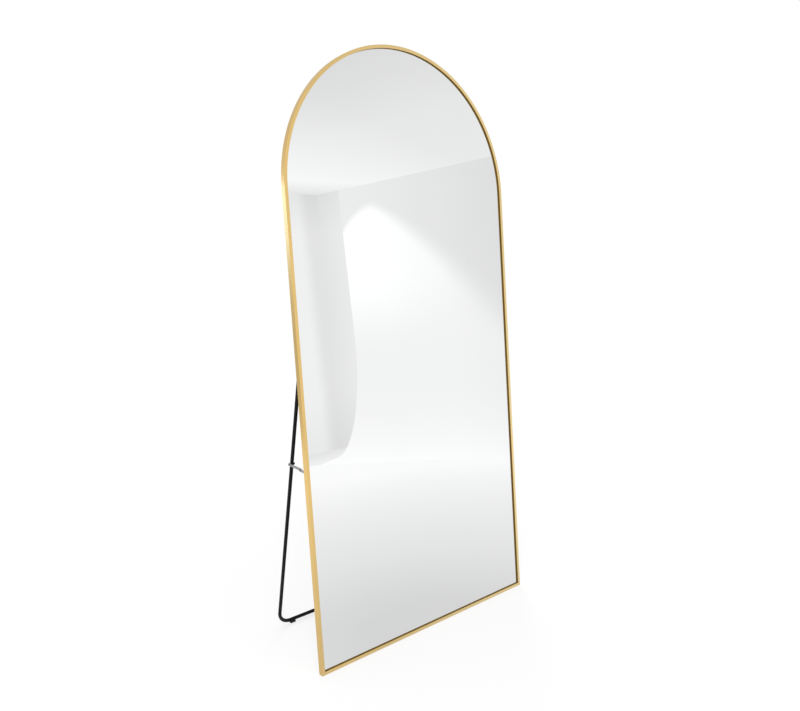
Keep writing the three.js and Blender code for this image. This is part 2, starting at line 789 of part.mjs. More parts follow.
for (const { side, label } of sides) {
  const bracket = angleBracket(side, stayEarX, stayBracketHeight, stayPanelY, stayEarRadius, rivetRadius);
  addPiece(panel, `stay_bracket_${label}`, bracket, "zinc");
  for (const [end, place] of [[-1, "lower"], [1, "upper"]]) {
    const screwY = stayPanelY + end * (stayBracketHeight / 2 - screwInset);
    const screw = flangeScrew(side * screwX, screwY, bracketThickness);
    addPiece(panel, `stay_screw_${place}_${label}`, screw, "zinc");
  }

  // The rivet's tail is countersunk in the strap, because the other strap folds past it
  const earFace = stayEarX + bracketThickness + fitGap;
  const pivot = [
    [0, frontStrapX],
    [rivetRadius + rivetTailFlare, frontStrapX],
    [rivetRadius, frontStrapX + rivetTailFlare],
    [rivetRadius, earFace],
    [rivetHeadRadius, earFace],
    [rivetHeadRadius * headCrown, earFace + rivetHeadHeight],
    [0, earFace + rivetHeadHeight],
  ];
  addPiece(panel, `stay_pivot_${label}`, turnedX(onSide(side, pivot), stayPanelY, -pivotDepth), "zinc");

  const boltHead = rearStrapX + strapThickness + fitGap;
  const nutFace = legOffset - tubeRadius - fitGap;
  const boltEnd = nutFace - stayNutThickness - boltPastNut;
  const bolt = [
    [0, boltEnd],
    [stayBoltRadius - boltPointChamfer, boltEnd],
    [stayBoltRadius, boltEnd + boltPointChamfer],
    [stayBoltRadius, boltHead],
    [stayHeadRadius, boltHead],
    [stayHeadRadius, boltHead + stayHeadHeight * 0.5],
    [stayHeadRadius * headCrown, boltHead + stayHeadHeight],
    [0, boltHead + stayHeadHeight],
  ];
  const y = -stayOnLeg;
  addPiece(stand, `stay_bolt_${label}`, turnedX(onSide(side, bolt), y, 0), "zinc");
  const stayNut = nut(side, nutFace, stayNutThickness, stayNutAcross, stayBoltRadius, y, 0);
  addPiece(stand, `stay_nut_${label}`, stayNut, "zinc");
  const spacer = washer(side, staySpacerX, staySpacerThickness, staySpacerRadius, stayBoltRadius, y, 0);
  addPiece(stand, `stay_spacer_${label}`, spacer, "nylon");
}

// The open stay lies level: x across, y backwards from the panel's pivot, z up
const stay = new THREE.Group();
stay.position.y = hingeAxis.y - stayDrop * Math.tan(mirrorLean);
stay.position.z = stayHeight;
standing.add(stay);

// A strap with round ends between two pivots on the y axis
function strapShape(fromY, toY) {
  const radius = strapWidth / 2;
  const shape = new THREE.Shape();
  shape.absarc(toY, 0, radius, -Math.PI / 2, Math.PI / 2, false);
  shape.absarc(fromY, 0, radius, Math.PI / 2, (3 * Math.PI) / 2, false);
  return shape;
}

// Half of the knee rivet: a head on the strap's outer face and a collar that spaces the two straps
function kneeHalf(strapX, headOutwards) {
  const far = headOutwards ? strapX + strapThickness + fitGap : strapX - fitGap;
  const near = headOutwards ? strapX - fitGap : strapX + strapThickness + fitGap;
  const away = headOutwards ? 1 : -1;
  const collar = strapGap / 2 - 1.5 * fitGap;
  const profile = [
    [0, far + away * rivetHeadHeight],
    [rivetHeadRadius * headCrown, far + away * rivetHeadHeight],
    [rivetHeadRadius, far],
    [rivetRadius, far],
    [rivetRadius, near],
    [rivetHeadRadius, near],
    [rivetHeadRadius, near - away * collar],
    [0, near - away * collar],
  ];
  return headOutwards ? profile.reverse() : profile;
}

const kneeY = frontStrapLength;
const stayHole = rivetRadius + fitGap;

for (const { side, label } of sides) {
  const [frontFrom, frontTo] = spanOn(side, frontStrapX, frontStrapX + strapThickness);
  const countersink = onSide(side, [
    [0, frontStrapX - 1],
    [stayHole + rivetTailFlare + 1, frontStrapX - 1],
    [stayHole, frontStrapX + rivetTailFlare],
    [stayHole, frontStrapX + strapThickness + 1],
    [0, frontStrapX + strapThickness + 1],
  ]);
  const frontStrap = cutAll(plateX(strapShape(0, kneeY), frontFrom, frontTo, 6), [
    turnedX(countersink, 0, 0),
    rodX(stayHole, frontFrom - 1, frontTo + 1, kneeY, 0),
  ]);
  addPiece(stay, `stay_front_strap_${label}`, frontStrap, "zinc");
  const frontKnee = turnedX(onSide(side, kneeHalf(frontStrapX, true)), kneeY, 0);
  addPiece(stay, `knee_rivet_front_${label}`, frontKnee, "zinc");

  const [rearFrom, rearTo] = spanOn(side, rearStrapX, rearStrapX + strapThickness);
  const rearStrap = cutAll(plateX(strapShape(kneeY, staySpan), rearFrom, rearTo, 6), [
    rodX(stayHole, rearFrom - 1, rearTo + 1, kneeY, 0),
    rodX(stayBoltRadius + fitGap, rearFrom - 1, rearTo + 1, staySpan, 0),
  ]);
  addPiece(stay, `stay_rear_strap_${label}`, rearStrap, "zinc");
  const rearKnee = turnedX(onSide(side, kneeHalf(rearStrapX, false)), kneeY, 0);
  addPiece(stay, `knee_rivet_rear_${label}`, rearKnee, "zinc");
}

export default floorMirror;
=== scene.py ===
import json
from functools import partial
from math import cos, pi, radians, sin

import bmesh
import bpy
import numpy as np
from mathutils import Matrix
from mathutils.geometry import tessellate_polygon


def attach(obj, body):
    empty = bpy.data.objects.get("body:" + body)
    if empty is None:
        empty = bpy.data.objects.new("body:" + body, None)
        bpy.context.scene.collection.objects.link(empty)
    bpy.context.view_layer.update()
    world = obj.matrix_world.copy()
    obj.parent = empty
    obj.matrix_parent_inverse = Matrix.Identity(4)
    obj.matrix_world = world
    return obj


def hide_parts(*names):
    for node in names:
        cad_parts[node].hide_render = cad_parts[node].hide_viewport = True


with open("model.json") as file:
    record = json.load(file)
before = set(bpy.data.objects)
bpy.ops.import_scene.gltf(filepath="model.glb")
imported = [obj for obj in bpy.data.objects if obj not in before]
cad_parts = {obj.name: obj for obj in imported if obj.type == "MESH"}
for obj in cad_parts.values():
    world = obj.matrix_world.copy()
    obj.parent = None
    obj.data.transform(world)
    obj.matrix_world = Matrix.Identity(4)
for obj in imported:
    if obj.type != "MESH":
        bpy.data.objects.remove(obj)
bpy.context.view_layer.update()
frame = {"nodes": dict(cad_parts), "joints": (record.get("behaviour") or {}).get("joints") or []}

# --- Camera and picture --------------------
# A 33 mm lens at chest height, to the left of the mirror and turned 40 degrees
# towards it, looking down by 10 degrees with hardly any roll.


def placed_by(side, up, back, place):
    """A turn and a place as one matrix: where X, Y and Z point, and where the origin goes."""
    return Matrix([*np.stack([side, up, back, place], 1).tolist(), [0, 0, 0, 1]])


scene = bpy.context.scene
scene.view_settings.view_transform = "Standard"

camera = bpy.data.objects.new("camera", bpy.data.cameras.new("camera"))
scene.collection.objects.link(camera)
scene.camera = camera
camera.data.sensor_fit = "HORIZONTAL"
camera.data.sensor_width = 36.0
camera.data.lens = 33.328
eye = np.array([-1.4900, -1.7727, 1.2736])
heading = np.array([0.633075, 0.754049, -0.175004])
rightwards = np.array([0.765703, -0.643193, -0.001434])
camera.matrix_world = placed_by(rightwards, np.cross(rightwards, heading), -heading, eye)


# --- Soft light ----------------------------
# A pale even sky, with one large soft lamp at the front left and a weaker one
# behind the stand. Metal sees the sky in bands, and a strip light at the back.


def feed(value, socket):
    """Gives a socket its value, which is a number or another node's output."""
    if isinstance(value, (int, float)):
        socket.default_value = value
    else:
        socket.id_data.links.new(value, socket)


def maths(operation, first, second):
    """One sum of two values, in the node tree that one of them comes from."""
    source = second if isinstance(first, (int, float)) else first
    node = source.id_data.nodes.new("ShaderNodeMath")
    node.operation = operation
    feed(first, node.inputs[0])
    feed(second, node.inputs[1])
    return node.outputs[0]


plus, minus, times = (partial(maths, operation) for operation in ("ADD", "SUBTRACT", "MULTIPLY"))


def fade(value, start, end, low, high, smooth=False):
    """Takes a value from start..end to low..high, and holds it flat outside."""
    node = value.id_data.nodes.new("ShaderNodeMapRange")
    node.interpolation_type = "SMOOTHSTEP" if smooth else "LINEAR"
    for socket, number in zip(("From Min", "From Max", "To Min", "To Max"), (start, end, low, high)):
        node.inputs[socket].default_value = number
    feed(value, node.inputs["Value"])
    return node.outputs["Result"]


def light_path_share(tree, *kinds):
    """1 for rays of the given kinds and 0 for all others: the kinds' flags added up."""
    path = tree.nodes.new("ShaderNodeLightPath")
    total, *others = [path.outputs[f"Is {kind} Ray"] for kind in kinds]
    for flag in others:
        total = plus(total, flag)
        total.node.use_clamp = True
    return total


sky_for_looking_at = 1.0
sky_for_lighting = 0.78
# What metal sees at each height of the view, as (upwards part of the direction, strength)
sky_bands = [(-0.2, 0.72), (-0.05, 0.74), (-0.01, 0.98), (0.05, 0.90), (0.2, 0.74), (0.5, 0.74), (0.85, 0.95)]

world = bpy.data.worlds.new("pale_sky")
scene.world = world
world.use_nodes = True
sky = world.node_tree
looked_at = light_path_share(sky, "Camera", "Transmission")
direction = sky.nodes.new("ShaderNodeTexCoord")
upwards_part = sky.nodes.new("ShaderNodeSeparateXYZ")
feed(direction.outputs["Generated"], upwards_part.inputs[0])
bands = sky.nodes.new("ShaderNodeValToRGB")
bands.color_ramp.interpolation = "EASE"
stops = bands.color_ramp.elements
for i, (height, strength) in enumerate(sky_bands):
    stop = stops[i] if i < 2 else stops.new(0.5 + height / 2)
    stop.position = 0.5 + height / 2
    stop.color = (strength, strength, strength, 1)
feed(fade(upwards_part.outputs["Z"], -1.0, 1.0, 0.0, 1.0), bands.inputs["Fac"])
banded = sky.nodes.new("ShaderNodeMix")
feed(light_path_share(sky, "Glossy"), banded.inputs["Factor"])
feed(fade(looked_at, 0.0, 1.0, sky_for_lighting, sky_for_looking_at), banded.inputs["A"])
feed(bands.outputs["Color"], banded.inputs["B"])
sky.nodes["Background"].inputs["Color"].default_value = (1, 1, 1, 1)
feed(banded.outputs["Result"], sky.nodes["Background"].inputs["Strength"])


def soft_lamp(name, place, target, width, power):
    """A square lamp at a place, facing a target point. Its own shape doesn't show in metal."""
    data = bpy.data.lights.new(name, "AREA")
    data.shape = "SQUARE"
    data.size = width
    data.energy = power
    lamp = bpy.data.objects.new(name, data)
    scene.collection.objects.link(lamp)
    away = np.subtract(place, target).astype(float)
    away /= np.linalg.norm(away)
    side = np.cross([0.0, 0.0, 1.0], away)
    side /= np.linalg.norm(side)
    lamp.matrix_world = placed_by(side, np.cross(away, side), away, place)
    lamp.visible_glossy = False


soft_lamp("lamp_front_left", place=(-3.0, -3.2, 3.4), target=(0, 0, 0.9), width=2.4, power=120)
soft_lamp("lamp_behind", place=(2.2, 3.0, 2.8), target=(0, 0, 0.8), width=2.0, power=45)


# --- Floor ---------------------------------
# A plain white floor that keeps a soft shadow. Metal and glass see it glow as a pale grey floor,
# with painted shade that lifts with the distance from the mirror.


def stage_mesh(name, points, material, faces=None, only_reflected=True):
    """A piece of the studio, with one face round all its points unless faces are given. All but the
    floor show only in reflections, and neither light the mirror nor block a view."""
    mesh = bpy.data.meshes.new(name)
    mesh.from_pydata(np.array(points, float).tolist(), [], faces or [range(len(points))])
    mesh.materials.append(material)
    thing = bpy.data.objects.new(name, mesh)
    scene.collection.objects.link(thing)
    if only_reflected:
        thing.visible_camera = thing.visible_diffuse = False
        thing.visible_transmission = thing.visible_shadow = False


def along(tree, direction, origin=(0, 0, 0)):
    """How far a point lies from an origin along a direction: their difference times it."""
    place = tree.nodes.new("ShaderNodeTexCoord")
    from_origin = tree.nodes.new("ShaderNodeVectorMath")
    from_origin.operation = "SUBTRACT"
    from_origin.inputs[1].default_value = origin
    dot = tree.nodes.new("ShaderNodeVectorMath")
    dot.operation = "DOT_PRODUCT"
    dot.inputs[1].default_value = direction
    feed(place.outputs["Object"], from_origin.inputs[0])
    feed(from_origin.outputs[0], dot.inputs[0])
    return dot.outputs["Value"]


def empty_material(name):
    """A material with nothing in it but its output."""
    material = bpy.data.materials.new(name)
    material.use_nodes = True
    tree = material.node_tree
    tree.nodes.remove(tree.nodes["Principled BSDF"])
    return material, tree, tree.nodes["Material Output"].inputs["Surface"]


def glow(tree, strength):
    """Plain white light of a strength."""
    node = tree.nodes.new("ShaderNodeEmission")
    feed(strength, node.inputs["Strength"])
    return node.outputs[0]


def mixed(share, first, second):
    """The first shader where the share is 0 and the second where it is 1."""
    node = first.id_data.nodes.new("ShaderNodeMixShader")
    for value, socket in zip((share, first, second), node.inputs):
        feed(value, socket)
    return node.outputs[0]


straight_up = (0, 0, 1)
floor_middle = (0, -0.15, 0)
floor_reach = 14.0

floor_material, tree, surface = empty_material("white_floor")
place = tree.nodes.new("ShaderNodeTexCoord")
distance = tree.nodes.new("ShaderNodeVectorMath")
distance.operation = "DISTANCE"
distance.inputs[1].default_value = floor_middle
feed(place.outputs["Object"], distance.inputs[0])
distance = distance.outputs["Value"]

# A camera sees a third of matt white with its shadow, washed out to pure white further off
matt = tree.nodes.new("ShaderNodeBsdfDiffuse")
matt.inputs["Color"].default_value = (0.9, 0.9, 0.9, 1)
seen = mixed(0.66, matt.outputs[0], glow(tree, 1.04))
seen = mixed(fade(distance, 1.8, 4.0, 0.0, 1.0, smooth=True), seen, glow(tree, 1.0))

# In reflections the floor glows with painted light and shade: it brightens quickly near the mirror, then
# slowly, and is dimmer far behind it
painted_floor_tone = fade(distance, 0.2, 0.8, 0.69, 0.805)
painted_floor_tone = plus(painted_floor_tone, fade(distance, 0.8, 2.8, 0.0, 0.2))
behind = fade(along(tree, (0, 1, 0)), 0.3, 1.0, 0.0, 1.0)
dimmer = fade(distance, 2.2, 3.3, -0.10, 0.43, smooth=True)
painted_floor_tone = minus(painted_floor_tone, times(behind, dimmer))

lit = mixed(light_path_share(tree, "Camera"), matt.outputs[0], seen)
reflected = light_path_share(tree, "Glossy", "Transmission")
feed(mixed(reflected, lit, glow(tree, painted_floor_tone)), surface)
floor_corners = [(x * floor_reach, y * floor_reach, 0) for x, y in ((-1, -1), (1, -1), (1, 1), (-1, 1))]
stage_mesh("floor", floor_corners, floor_material, only_reflected=False)

# A strip light stands behind at the left, and fades from its top to its foot
strip_low, strip_high = 1.02, 1.62
strip_ends = [(-2.75, 2.1), (-1.25, 3.0)]
strip_material, tree, surface = empty_material("strip_light")
fading = glow(tree, fade(along(tree, straight_up), 1.05, 1.45, 1.6, 3.2))
fading.node.inputs["Color"].default_value = (0.56, 0.69, 1.0, 1)
feed(fading, surface)
strip = [(*end, strip_low) for end in strip_ends] + [(*end, strip_high) for end in strip_ends[::-1]]
stage_mesh("strip_light", strip, strip_material)

# --- The room in the mirror ----------------
# A plain white photo studio stands in front of the mirror: a sweep that curves
# from a wall into the floor, a corner beside it and a low ceiling. Each piece glows, with its light and shade
# painted into its tones.

room_height = 2.25
room_left, room_right, room_near = -4.4, 6.0, 2.0
sweep_start = np.array([2.356, -3.56, 0.0])
wall_run = np.array([0.4352, 0.9004, 0.0])
wall_out = np.array([-0.9004, 0.4352, 0.0])
sweep_reach = 0.53
sweep_rise = 0.98
sweep_foot = 0.8
sweep_width = 4.2
over_the_floor = 0.002
# How far along the wall the sweep's near edge lies, at the floor and at the ceiling
edge_at_floor, edge_at_ceiling = -0.05, -0.02
upright = np.array([0, 0, room_height])
# Edges of the walls, each as its foot and its top
room_corner = np.array([[2.148, -3.79, 0.0], [2.249, -3.764, room_height]])
side_wall_end = np.array([[1.56, -3.776, 0.0], [1.55, -3.704, room_height]])
front_wall_end = np.array([[room_left, -4.1, 0.0], [room_left, -3.6, room_height]])
sweep_edge = sweep_start + np.array([edge_at_floor * wall_run, edge_at_ceiling * wall_run + upright])


def wall_between(name, start, end, material):
    """A flat wall between two upright edges."""
    stage_mesh(name, [start[0], end[0], end[1], start[1]], material)


def wall_finish(name, direction, reach, at_corner, beyond, at_ceiling, at_floor, smooth=False):
    """A wall that glows with painted shade: its tone goes from the room's corner to beyond a reach, and
    takes a share of itself at the ceiling and at the floor."""
    material, tree, surface = empty_material(name)
    tone = fade(along(tree, direction, room_corner[0]), 0.0, reach, at_corner, beyond, smooth)
    height = along(tree, straight_up)
    under_ceiling = fade(height, 1.9, room_height, 1.0, at_ceiling)
    near_floor = fade(height, 0.0, 0.5, at_floor, 1.0)
    tone = times(tone, times(under_ceiling, near_floor))
    feed(glow(tree, tone), surface)
    return material


def grid_faces(rows, columns, start=0, closed=True):
    """Four-cornered faces between each row of points and the next. A closed row joins its last
    point to its first."""
    row, column = np.meshgrid(
        np.arange(rows - 1), np.arange(columns if closed else columns - 1), indexing="ij"
    )
    here, beside = start + row * columns + column, start + row * columns + (column + 1) % columns
    return np.stack([here, beside, beside + columns, here + columns], -1).reshape(-1, 4)


# The sweep: straight down the wall, then a quarter of an upright ellipse, then along the floor
downs = np.linspace(room_height, sweep_rise, 12)
turns = np.linspace(0, pi / 2, 33)[1:]
out = np.concatenate([0 * downs, sweep_reach * (1 - np.cos(turns)), [sweep_foot]])
high = np.concatenate([downs, sweep_rise * (1 - np.sin(turns)) + over_the_floor, [over_the_floor]])
runs = np.linspace(edge_at_ceiling, sweep_width, 8)
edge_lean = (edge_at_floor - edge_at_ceiling) * (1 - high / room_height)
sweep = (
    sweep_start
    + wall_run * (runs[:, None, None] + edge_lean[None, :, None])
    + wall_out * out[None, :, None]
    + np.array(straight_up) * high[None, :, None]
)
sweep_faces = grid_faces(len(runs), len(high), closed=False)

# A painted scallop of lamp light lies on the sweep: its rim is highest a little way in, and falls
# away to the right, where it is softer
scallop_at, scallop_top = 0.27, 2.06
sweep_material, tree, surface = empty_material("lit_sweep")
run = along(tree, wall_run, sweep_start)
height = along(tree, straight_up)
past_top = maths("MAXIMUM", minus(run, scallop_at), 0.0)
short_of_top = maths("MAXIMUM", minus(scallop_at, run), 0.0)
far_drop = times(maths("POWER", past_top, 1.25), 1.02)
near_drop = times(maths("POWER", short_of_top, 2.0), 2.0)
rim = minus(minus(scallop_top, far_drop), near_drop)
softness = plus(0.05, times(past_top, 0.22))
below_rim = maths("DIVIDE", minus(rim, height), softness)
in_light = fade(below_rim, -1.0, 1.0, 0.0, 1.0, smooth=True)
shade = fade(run, 0.2, 1.5, 0.87, 0.76)

# In the light, the upper part is brightest at the left and the lower part follows the curve
brightest = fade(run, 0.3, 0.85, 1.06, 0.985)
brightest = minus(brightest, fade(run, 0.85, 1.2, 0.0, 0.115))
round_the_curve = minus(along(tree, wall_out, sweep_start), height)
lower_tone = fade(round_the_curve, -0.55, 0.9, 0.925, 1.03, smooth=True)
lower_tone = minus(lower_tone, fade(run, 0.9, 1.7, 0.0, 0.05))
lower_down = fade(height, 1.5, 0.75, 0.0, 1.0, smooth=True)
light_drop = times(lower_down, minus(lower_tone, brightest))
light = plus(brightest, light_drop)
lift = times(in_light, minus(light, shade))
feed(glow(tree, plus(shade, lift)), surface)
stage_mesh("sweep", sweep.reshape(-1, 3), sweep_material, sweep_faces.tolist())

back_material = wall_finish("shaded_back_wall", wall_run, 0.3, 0.785, 0.87, at_ceiling=0.93, at_floor=0.93)
wall_between("back_wall", room_corner, sweep_edge, back_material)
side_material = wall_finish(
    "lit_side_wall", (-1, 0, 0), 0.16, 0.80, 0.91, at_ceiling=0.90, at_floor=0.925, smooth=True
)
wall_between("side_wall", room_corner, side_wall_end, side_material)
wall_between("front_wall", side_wall_end, front_wall_end, side_material)

# The ceiling glows with painted shade: it darkens away from the sweep's wall, to the right, and close to the
# side wall
ceiling_material, tree, surface = empty_material("pale_ceiling")
from_wall = along(tree, wall_out, sweep_start)
from_side_wall = along(tree, (0, 1, 0), (0, -3.755, 0))
tone = fade(from_wall, 0.0, 1.5, 0.986, 0.968)
tone = minus(tone, fade(from_wall, 1.5, 3.5, 0.0, 0.158))
tone = minus(tone, fade(along(tree, wall_run, sweep_start), 0.0, 1.15, 0.0, 0.132))
tone = times(tone, fade(from_side_wall, 0.0, 0.45, 0.82, 1.0))
feed(glow(tree, tone), surface)
ceiling = [side_wall_end[1], front_wall_end[1], (room_left, room_near, room_height),
           (room_right, room_near, room_height), sweep_start + wall_run * sweep_width + upright,
           sweep_edge[1], room_corner[1]]
stage_mesh("ceiling", ceiling, ceiling_material)

# The bit of floor between the corner and the sweep's edge, as (out from the wall, along it)
nook_plan = [(0.0, -0.05), (sweep_foot, -0.04), (0.86, -0.2), (0.95, -0.6), (0.9, -1.2)]
# It glows with painted shade, darker towards the room's corner
nook_material, tree, surface = empty_material("floor_behind_sweep")
tone = fade(along(tree, (0, 1, 0), room_corner[0]), 0.0, 0.45, 0.79, 0.90)
feed(glow(tree, tone), surface)
nook_edge = [sweep_start + wall_out * out_by + wall_run * run_by for out_by, run_by in nook_plan]
nook = np.array([room_corner[0], *nook_edge]) + [0, 0, over_the_floor / 2]
stage_mesh("nook", nook, nook_material)

# --- Frame extrusion -----------------------
# One length of gold anodised aluminium channel is bent over the top, and a
# straight one closes the bottom. Both are cut at 45 degrees where they meet.
# A hollow box at the front hides the glass's edge; a lip at the back holds all.

half_width = 0.425
spring_height = 1.375
lean_degrees = 5.46
lean = radians(lean_degrees)
row_offset = 0.142116
frame_depth = 0.0167
box_rear = 0.0118
face_width = 0.0098
skin = 0.0013
lip_width = 0.014
lip_thickness = 0.0014
chamber_wall = 0.0012
mitre_shift = 0.0003 / 2**0.5


def on_panel(across, up, front):
    """Points drawn on the leaning panel as points in the row: a turn about X by the lean, then a
    shift forwards."""
    across, up, front = np.broadcast_arrays(across, up, front)
    backwards = up * sin(lean) - front * cos(lean) - row_offset
    return np.stack([across, backwards, up * cos(lean) + front * sin(lean)], -1)


def rounded_outline(corners, radii, steps=5, edge=0.00015):
    """A closed outline with each corner replaced by an arc that touches both of its sides. A point
    just before and just after each arc keeps the flats flat under smooth shading."""
    corners = np.asarray(corners, float)
    outline = []
    for before, here, after, radius in zip(
        np.roll(corners, 1, 0), corners, np.roll(corners, -1, 0), np.broadcast_to(radii, len(corners))
    ):
        to_before = (before - here) / np.linalg.norm(before - here)
        to_after = (after - here) / np.linalg.norm(after - here)
        half = np.arccos(np.clip(to_before @ to_after, -1, 1)) / 2
        middle = (to_before + to_after) / np.linalg.norm(to_before + to_after)
        centre = here + middle * radius / np.sin(half)
        first = here + to_before * radius / np.tan(half)
        last = here + to_after * radius / np.tan(half)
        swing = pi - 2 * half
        turn = np.linspace(0, 1, steps + 1)[:, None]
        arc = (first - centre) * np.sin((1 - turn) * swing) + (last - centre) * np.sin(turn * swing)
        outline += [[first + to_before * edge], centre + arc / np.sin(swing), [last + to_after * edge]]
    return np.concatenate(outline)


def put_mesh(name, points, faces, finish, body, node, uv=None, sharp=50):
    """A finished piece that rides on a body and stands for a CAD node. Points that coincide are
    merged, faces are turned outwards, and only edges over the sharp angle stay hard."""
    material, slot = finish
    mesh = bpy.data.meshes.new(name)
    mesh.from_pydata(np.reshape(points, (-1, 3)).tolist(), [], faces)
    if uv is not None:
        mesh.uv_layers.new(name="along").data.foreach_set("uv", np.ravel(uv))
    shell = bmesh.new()
    shell.from_mesh(mesh)
    bmesh.ops.remove_doubles(shell, verts=shell.verts, dist=1e-7)
    bmesh.ops.recalc_face_normals(shell, faces=shell.faces)
    shell.to_mesh(mesh)
    shell.free()
    mesh.shade_smooth()
    mesh.set_sharp_from_angle(angle=radians(sharp))
    mesh.materials.append(material)
    piece = bpy.data.objects.new(name, mesh)
    scene.collection.objects.link(piece)
    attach(piece, body)
    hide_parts(node)


def grid_uv(lengths, girths):
    """For each corner of grid_faces, how far it is along the piece and round it, in metres."""
    row, column = np.meshgrid(np.arange(len(lengths) - 1), np.arange(len(girths) - 1), indexing="ij")
    u = lengths[np.stack([row, row, row + 1, row + 1], -1)]
    v = girths[np.stack([column, column + 1, column + 1, column], -1)]
    return np.stack([u, v], -1).reshape(-1, 4, 2)


def girth_of(outline):
    """The distance round an outline to each of its points, and all the way round."""
    steps = np.linalg.norm(np.roll(outline, -1, 0) - outline, axis=1)
    return np.concatenate([[0], np.cumsum(steps)])


def plain_finish(name, colour, roughness, metallic=0.0):
    """A material of one colour, ready for its grain."""
    material = bpy.data.materials.new(name)
    material.use_nodes = True
    shader = material.node_tree.nodes["Principled BSDF"]
    shader.inputs["Base Color"].default_value = (*colour, 1)
    shader.inputs["Roughness"].default_value = roughness
    shader.inputs["Metallic"].default_value = metallic
    return material, material.node_tree, shader


def noise(tree, cycles, detail=3.0, uv=None):
    """Noise on the piece's own place, or on its UV map, in cycles per metre: one number, or one
    for each axis."""
    if uv:
        place = tree.nodes.new("ShaderNodeUVMap")
        place.uv_map = uv
    else:
        place = tree.nodes.new("ShaderNodeTexCoord")
    scale = tree.nodes.new("ShaderNodeMapping")
    scale.inputs["Scale"].default_value = np.broadcast_to(cycles, 3)
    texture = tree.nodes.new("ShaderNodeTexNoise")
    texture.inputs["Scale"].default_value = 1.0
    texture.inputs["Detail"].default_value = detail
    feed(place.outputs["UV" if uv else "Object"], scale.inputs["Vector"])
    feed(scale.outputs["Vector"], texture.inputs["Vector"])
    return texture.outputs["Fac"]


noise_low, noise_high = 0.35, 0.65


def vary_colour(shader, value, dark, light):
    """The colour moves from dark to light over the middle of the noise."""
    ramp = shader.id_data.nodes.new("ShaderNodeValToRGB")
    for element, position, colour in zip(ramp.color_ramp.elements, (noise_low, noise_high), (dark, light)):
        element.position = position
        element.color = (*colour, 1)
    feed(value, ramp.inputs["Fac"])
    feed(ramp.outputs["Color"], shader.inputs["Base Color"])


def vary_roughness(shader, value, smooth, rough):
    """The roughness moves between two values, over the middle of the noise."""
    feed(fade(value, noise_low, noise_high, smooth, rough), shader.inputs["Roughness"])


def raise_surface(shader, value, height):
    """Bump of a height in metres."""
    bump = shader.id_data.nodes.new("ShaderNodeBump")
    bump.inputs["Distance"].default_value = height
    feed(value, bump.inputs["Height"])
    feed(bump.outputs["Normal"], shader.inputs["Normal"])


def blend(first, second, share=0.5):
    """A share of the first value and the rest of the second."""
    rest = times(second, 1 - share)
    return plus(times(first, share), rest)


def band(value, start, end, step=0.0002):
    """1 between two values and 0 outside, with a narrow step just past each."""
    after_start = fade(value, start, start + step, 0.0, 1.0)
    before_end = fade(value, end, end + step, 1.0, 0.0)
    return times(after_start, before_end)


def tint(shader, share, colour):
    """Mixes a share of a colour into the shader's base colour."""
    mix = shader.id_data.nodes.new("ShaderNodeMix")
    mix.data_type = "RGBA"
    before, added = [socket for socket in mix.inputs if socket.type == "RGBA"]
    feed(share, mix.inputs["Factor"])
    feed(shader.inputs["Base Color"].links[0].from_socket, before)
    added.default_value = (*colour, 1)
    result = next(socket for socket in mix.outputs if socket.type == "RGBA")
    feed(result, shader.inputs["Base Color"])


# The section, as (inwards from the outer edge, forwards from the back), and the chamber in its box
channel = rounded_outline(
    [(0, 0), (0, frame_depth), (face_width, frame_depth), (face_width, box_rear),
     (skin, box_rear), (skin, lip_thickness), (lip_width, lip_thickness), (lip_width, 0)],
    [0.0003, 0.0006, 0.0006, 0.0003, 0.0004, 0.0004, 0.0003, 0.0003],
)
chamber_near, chamber_far = skin, face_width - chamber_wall
chamber_back, chamber_front = box_rear + chamber_wall, frame_depth - chamber_wall
chamber = rounded_outline(
    [(chamber_near, chamber_back), (chamber_near, chamber_front),
     (chamber_far, chamber_front), (chamber_far, chamber_back)],
    0.0004,
)
# How far round the section the middles of the corners lie that bound its face and return wall
corner_points = len(channel) // 8
face_start, face_end, wall_end = girth_of(channel)[corner_points * np.arange(1, 4) + corner_points // 2]

# Fine drawn lines run along the extrusion under the clear anodised skin
gold, tree, shader = plain_finish("gold_anodised", (0.88, 0.602, 0.22), 0.27, 1.0)
lines = noise(tree, (11, 4200, 1), detail=4, uv="along")
clouds = noise(tree, 6, detail=2)
vary_colour(shader, blend(lines, clouds, 0.6), (0.84, 0.567, 0.20), (0.92, 0.642, 0.245))
raise_surface(shader, lines, 0.00001)
shader.inputs["Coat Roughness"].default_value = 0.18
shader.inputs["Specular IOR Level"].default_value = 0.12
gold_finish = (gold, "gold_frame")

# A painted sheen: the front face's colour turns paler where it is seen at a slant
place = tree.nodes.new("ShaderNodeUVMap")
place.uv_map = "along"
round_it = tree.nodes.new("ShaderNodeSeparateXYZ")
feed(place.outputs["UV"], round_it.inputs[0])
slant = tree.nodes.new("ShaderNodeLayerWeight")
slant.inputs["Blend"].default_value = 0.5
painted_sheen = fade(slant.outputs["Facing"], 0.17, 0.36, 0.0, 0.6)
on_the_face = band(round_it.outputs["Y"], face_start, face_end)
tint(shader, times(painted_sheen, on_the_face), (0.97, 0.80, 0.44))

# Painted shade: the return wall beside the glass is coloured a matt dark bronze, from one rounded edge to
# the other, where the recess beside the glass lies in shade
painted_shade_wall = band(round_it.outputs["Y"], face_end, wall_end)
tint(shader, painted_shade_wall, (0.185, 0.11, 0.018))
feed(fade(painted_shade_wall, 0.0, 1.0, 1.0, 0.15), shader.inputs["Metallic"])
feed(fade(painted_shade_wall, 0.0, 1.0, 0.2, 0.0), shader.inputs["Coat Weight"])
drawn = fade(lines, noise_low, noise_high, 0.24, 0.34)
rougher = times(painted_shade_wall, 0.35)
feed(plus(drawn, rougher), shader.inputs["Roughness"])


